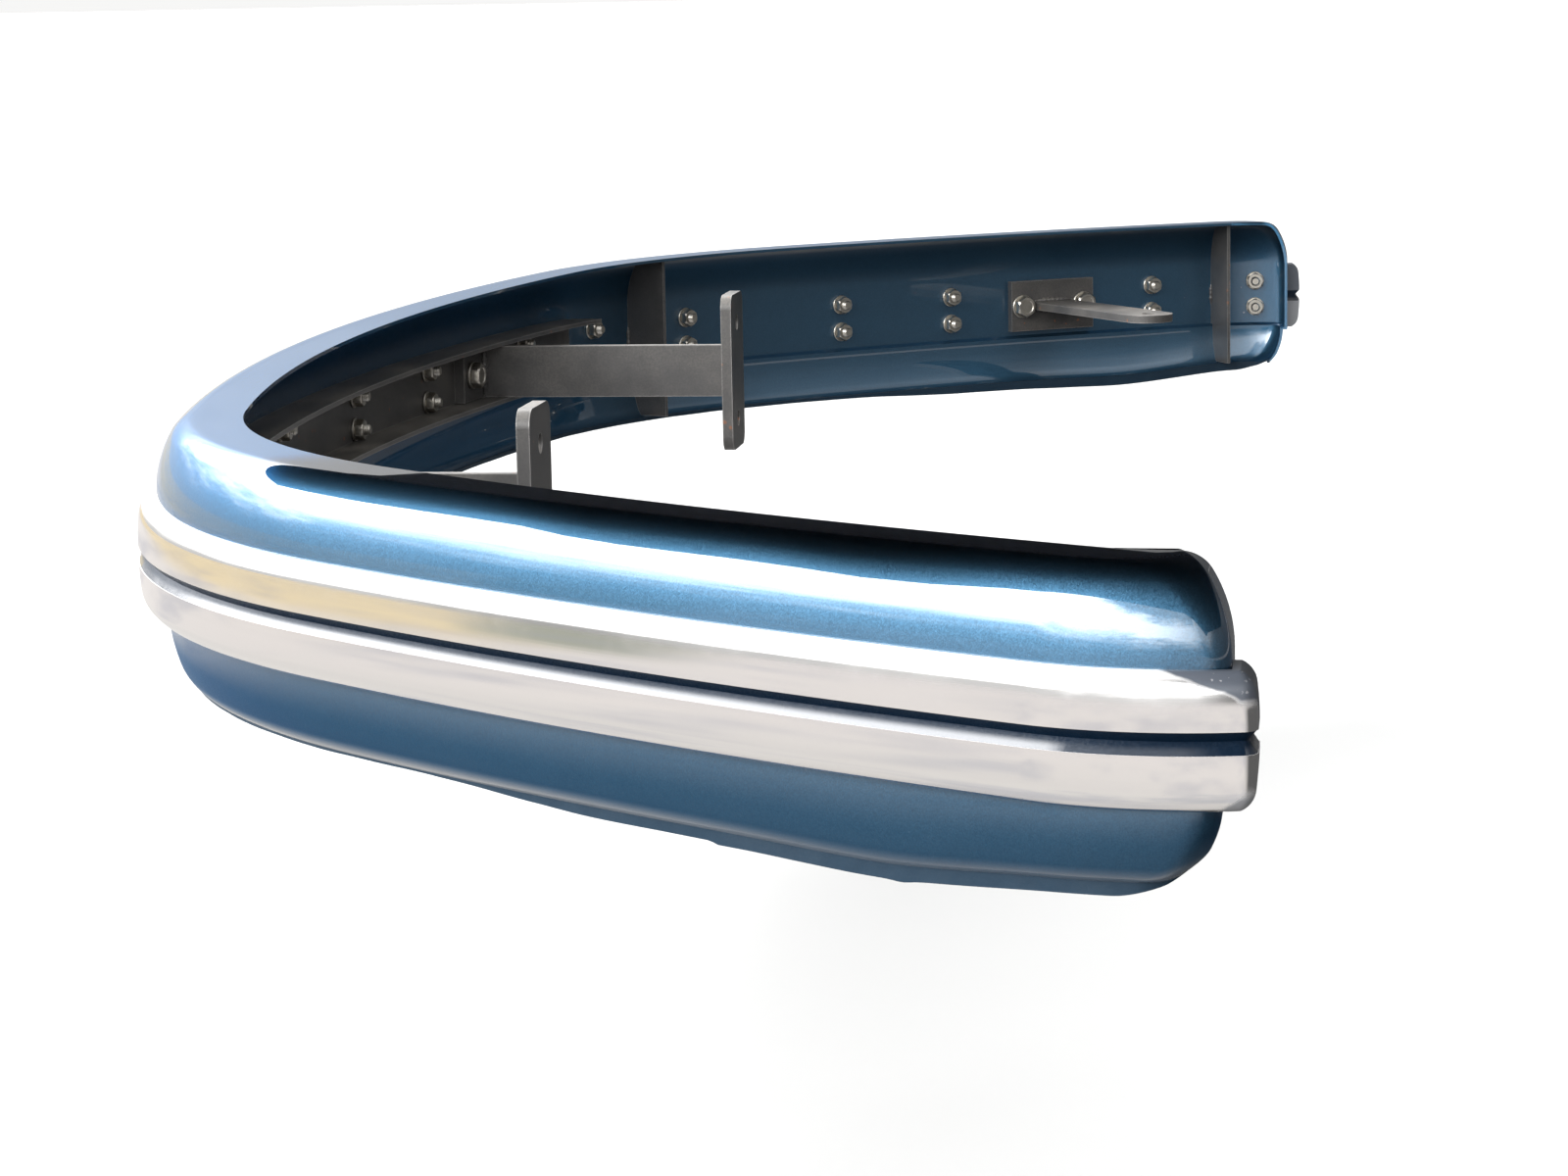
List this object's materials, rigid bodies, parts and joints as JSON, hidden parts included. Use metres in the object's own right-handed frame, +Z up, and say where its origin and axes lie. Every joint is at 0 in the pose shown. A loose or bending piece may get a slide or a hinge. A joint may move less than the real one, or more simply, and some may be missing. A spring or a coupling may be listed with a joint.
{
  "type": "front bumper of a 1950s coupe",
  "caption": "Wraparound front bumper of a small 1950s coupe: painted two-lobed blade, bright bands with a painted groove, inner beam, irons and side stays.",
  "frame": {"origin": "middle of the four bolts that hold the two main irons to the body, on the irons' rear faces", "axes": "+X towards the car's left side, -Y towards the front of the car, +Z up"},
  "size_m": [1.613, 0.5104, 0.1099],
  "materials": {
    "body_paint": "metallic mid blue under clear gloss",
    "groove_paint": "gloss blue",
    "bright_band": "polished",
    "beam_paint": "satin black",
    "iron_paint": "satin black"
  },
  "bodies": {
    "root": {"blade": "body_paint", "upper_band": "bright_band", "lower_band": "bright_band", "groove_strip": "groove_paint", "inner_beam": "beam_paint", "main_iron_left": "iron_paint", "main_iron_right": "iron_paint", "side_stay_left": "iron_paint", "side_stay_right": "iron_paint", "front_rib_left": "iron_paint", "front_rib_right": "iron_paint", "end_rib_left": "iron_paint", "end_rib_right": "iron_paint"}
  },
  "joints": []
}
